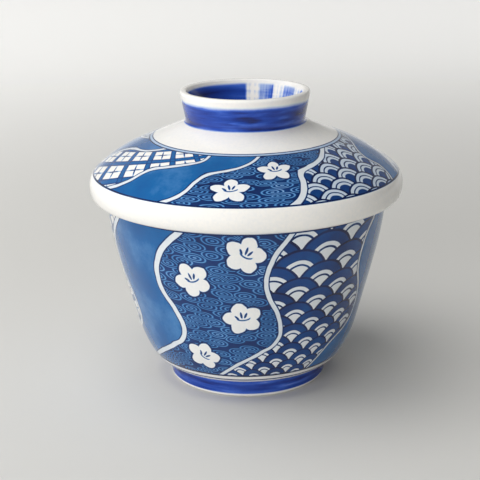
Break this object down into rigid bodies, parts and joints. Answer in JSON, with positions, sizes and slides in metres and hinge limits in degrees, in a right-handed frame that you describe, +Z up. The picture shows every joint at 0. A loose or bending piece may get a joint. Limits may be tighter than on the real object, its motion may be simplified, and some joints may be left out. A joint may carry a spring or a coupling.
{
  "type": "lidded rice bowl",
  "caption": "Footed porcelain rice bowl with a wide-brimmed lift-off lid that carries a hollow grip ring; blue and white glaze.",
  "frame": {"origin": "centre of the face that the foot ring stands on", "axes": "+Z up along the axis of revolution, from the foot ring to the lid's grip ring; +X to the viewer's right"},
  "size_m": [0.12, 0.12, 0.113],
  "materials": {
    "bowl_porcelain": "clear gloss glaze over blue underglaze painting",
    "lid_porcelain": "clear gloss glaze over blue underglaze painting"
  },
  "bodies": {
    "bowl": {"bowl": "bowl_porcelain"},
    "lid": {"lid": "lid_porcelain"}
  },
  "joints": [
    {"name": "lid_lift", "type": "slide", "parent": "bowl", "child": "lid", "axis": [0, 0, 1], "range_m": [0, 0.08]}
  ]
}
